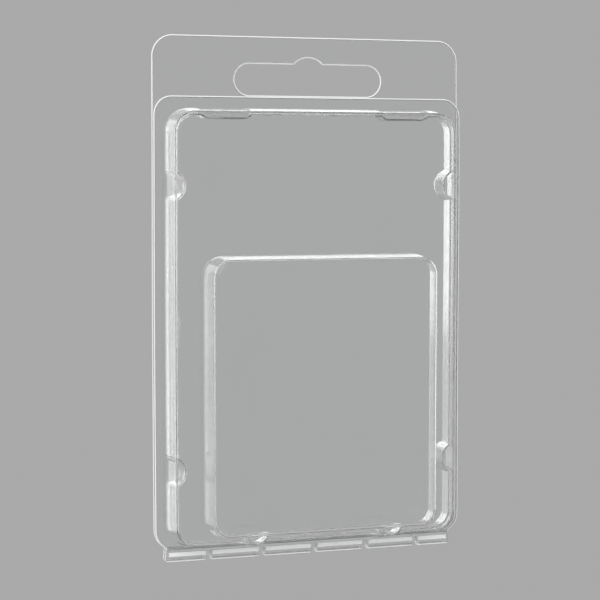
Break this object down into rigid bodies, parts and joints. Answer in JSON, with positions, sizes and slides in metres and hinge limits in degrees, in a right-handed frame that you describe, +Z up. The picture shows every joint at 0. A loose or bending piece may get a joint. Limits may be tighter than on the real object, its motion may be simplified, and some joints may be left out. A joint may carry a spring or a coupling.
{
  "type": "plastic clamshell pack",
  "caption": "Clear formed clamshell pack with a hang tab, a raised blister, a grooved plug that nests in the lid, and a lid that opens on a perforated fold along the bottom.",
  "frame": {"origin": "centre of the hang slot, on the plane where the two closed halves meet", "axes": "+X to the right as the pack is seen from the front, +Y to the back, +Z up towards the hang tab"},
  "size_m": [0.067, 0.0129, 0.1072],
  "materials": {
    "clear_sheet": "clear, glossy"
  },
  "bodies": {
    "back": {"back_half": "clear_sheet"},
    "front": {"front_half": "clear_sheet"}
  },
  "joints": [
    {"name": "lid_fold", "type": "hinge", "parent": "back", "child": "front", "pos_m": [0, 0, -0.09845], "axis": [1, 0, 0], "range_deg": [0, 180]}
  ]
}
